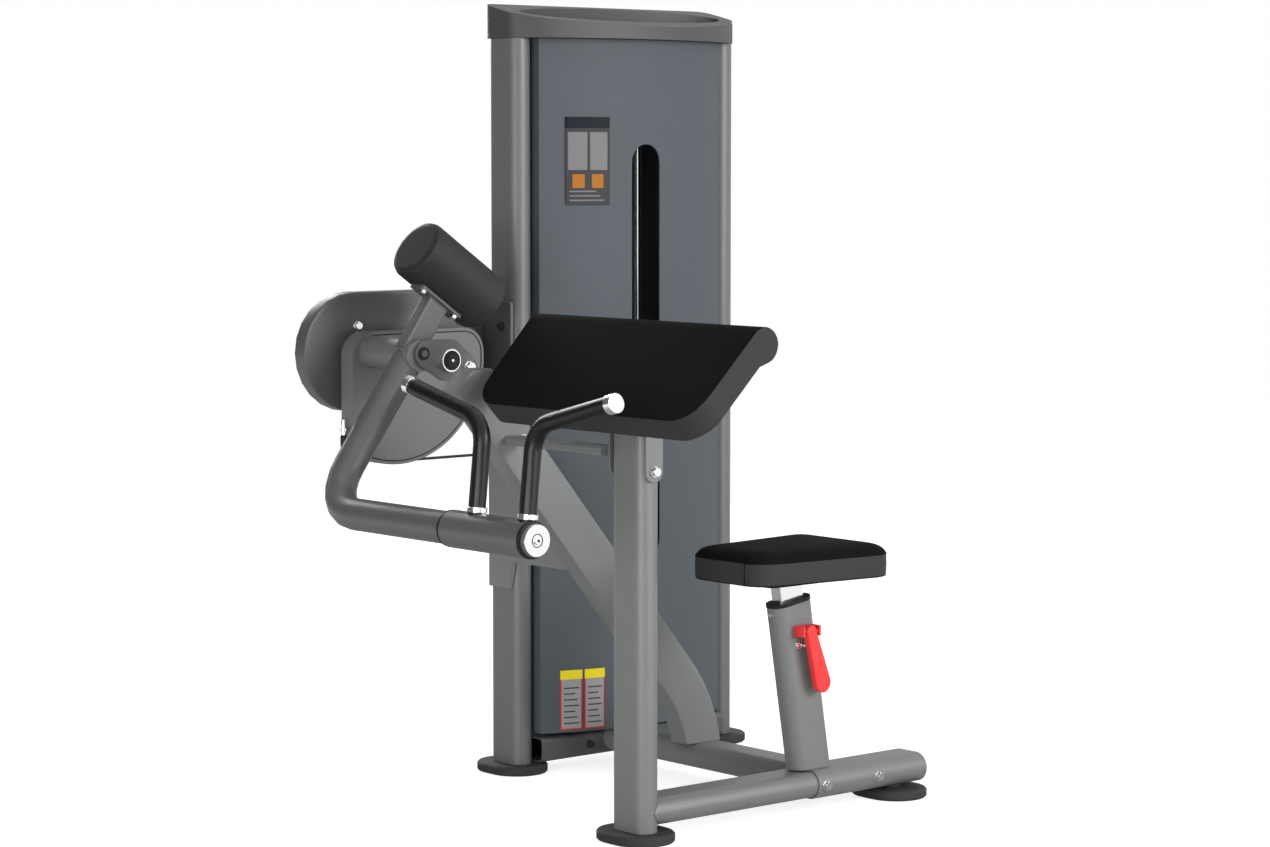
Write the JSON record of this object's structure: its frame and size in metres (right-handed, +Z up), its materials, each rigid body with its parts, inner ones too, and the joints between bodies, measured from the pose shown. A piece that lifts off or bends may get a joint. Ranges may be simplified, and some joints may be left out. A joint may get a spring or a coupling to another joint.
{
  "type": "biceps curl machine",
  "caption": "Selectorised biceps curl machine with a sloped arm pad, bent curl arm on a cam, shrouded weight tower and lift-up seat.",
  "frame": {"origin": "centre of the bounding box at floor level", "axes": "+Z up; -X is the way the seated user faces; +Y from the arm pad towards the weight tower"},
  "size_m": [1.188, 1.0722, 1.5483],
  "materials": {
    "frame_paint": "satin metallic grey powder coat",
    "shroud_paint": "satin blue-grey powder coat",
    "cap_plastic": "matte dark grey moulded plastic",
    "pad_cover": "fine-grained black upholstery",
    "foot_rubber": "matte black rubber",
    "chrome": "polished chrome",
    "dark_cast": "matte dark grey paint",
    "stack_iron": "black painted iron",
    "lever_red": "glossy red plastic",
    "cable_cover": "black cable cover",
    "grip_rubber": "black grip rubber",
    "black_plastic": "matte black plastic"
  },
  "bodies": {
    "frame": {"foot_front": "foot_rubber", "foot_left": "foot_rubber", "foot_right": "foot_rubber", "foot_seat": "foot_rubber", "front_post": "frame_paint", "base_rail": "frame_paint", "seat_sleeve": "frame_paint", "link_rail": "frame_paint", "lower_crossbar": "frame_paint", "upright_left": "frame_paint", "upright_right": "frame_paint", "top_cap": "cap_plastic", "front_shroud": "shroud_paint", "rear_shroud": "shroud_paint", "top_beam": "frame_paint", "lower_pulley_bracket": "frame_paint", "rod_beam": "frame_paint", "cable_run": "cable_cover", "cable_drop": "cable_cover", "plates_resting": "stack_iron", "guide_rod_left": "chrome", "guide_rod_right": "chrome", "stack_base": "black_plastic", "swan_neck": "frame_paint", "neck_gusset": "frame_paint", "side_plate": "frame_paint", "pad_bracket_near": "frame_paint", "pad_bracket_far": "frame_paint", "pad_link_bar": "frame_paint", "pad_board": "black_plastic", "arm_pad": "pad_cover", "pivot_housing": "cap_plastic", "pivot_shaft": "chrome", "seat_post": "frame_paint", "seat_bush": "black_plastic", "lever_bracket": "lever_red"},
    "arm": {"curl_arm": "frame_paint", "cross_tube": "frame_paint", "crank_plate": "frame_paint", "cam": "frame_paint", "hub_sleeve": "frame_paint", "hub_cap": "chrome", "counterweight": "dark_cast", "weight_post": "frame_paint", "arm_end_cap": "chrome", "cable_on_cam": "cable_cover"},
    "handle": {"handle_sleeve": "frame_paint", "grip_near": "grip_rubber", "grip_far": "grip_rubber"},
    "seat": {"seat_stem": "chrome", "seat_plate": "black_plastic", "seat_cushion": "pad_cover"},
    "stack": {"plates_lifted": "stack_iron", "stack_head": "stack_iron"},
    "lever": {"height_lever": "lever_red"},
    "lock": {"lock_pin": "chrome"},
    "selector": {"selector_pin": "chrome"},
    "pulley_low": {"pulley_lower": "black_plastic"},
    "pulley_left": {"pulley_top_left": "black_plastic"},
    "pulley_right": {"pulley_top_right": "black_plastic"}
  },
  "joints": [
    {"name": "arm_pivot", "type": "hinge", "parent": "frame", "child": "arm", "pos_m": [-0.295, 0.37885, 0.855], "axis": [0, 1, 0], "range_deg": [0, 100]},
    {"name": "handle_roll", "type": "hinge", "parent": "arm", "child": "handle", "pos_m": [-0.56, -0.19465, 0.583], "axis": [0, 1, 0], "range_deg": [-25, 20]},
    {"name": "stack_slide", "type": "slide", "parent": "frame", "child": "stack", "axis": [0, 0, 1], "range_m": [0, 0.37], "deforming": ["cable_drop"]},
    {"name": "pulley_low_spin", "type": "hinge", "parent": "frame", "child": "pulley_low", "pos_m": [0.066, 0.46235, 0.686], "axis": [0, 1, 0], "range_deg": [-10, 560]},
    {"name": "pulley_left_spin", "type": "hinge", "parent": "frame", "child": "pulley_left", "pos_m": [0.142, 0.46235, 1.41], "axis": [0, 1, 0], "range_deg": [-560, 10]},
    {"name": "pulley_right_spin", "type": "hinge", "parent": "frame", "child": "pulley_right", "pos_m": [0.224, 0.46235, 1.41], "axis": [0, 1, 0], "range_deg": [-560, 10]},
    {"name": "seat_slide", "type": "slide", "parent": "frame", "child": "seat", "axis": [-0.1633, 0, 0.9866], "range_m": [0, 0.12]},
    {"name": "lever_swing", "type": "hinge", "parent": "frame", "child": "lever", "pos_m": [0.142, -0.26615, 0.352], "axis": [-1, 0, 0], "range_deg": [0, 20]},
    {"name": "lock_slide", "type": "slide", "parent": "frame", "child": "lock", "axis": [0, -1, 0], "range_m": [0, 0.0083]},
    {"name": "selector_slide", "type": "slide", "parent": "stack", "child": "selector", "axis": [0, -1, 0], "range_m": [0, 0.06]}
  ],
  "couplings": [
    {"joint": "stack_slide", "follows": "arm_pivot", "m_per_rad": 0.207},
    {"joint": "pulley_low_spin", "follows": "arm_pivot", "ratio": 5.4474},
    {"joint": "pulley_left_spin", "follows": "arm_pivot", "ratio": -5.4474},
    {"joint": "pulley_right_spin", "follows": "arm_pivot", "ratio": -5.4474},
    {"joint": "lock_slide", "follows": "lever_swing", "m_per_rad": 0.0235}
  ]
}
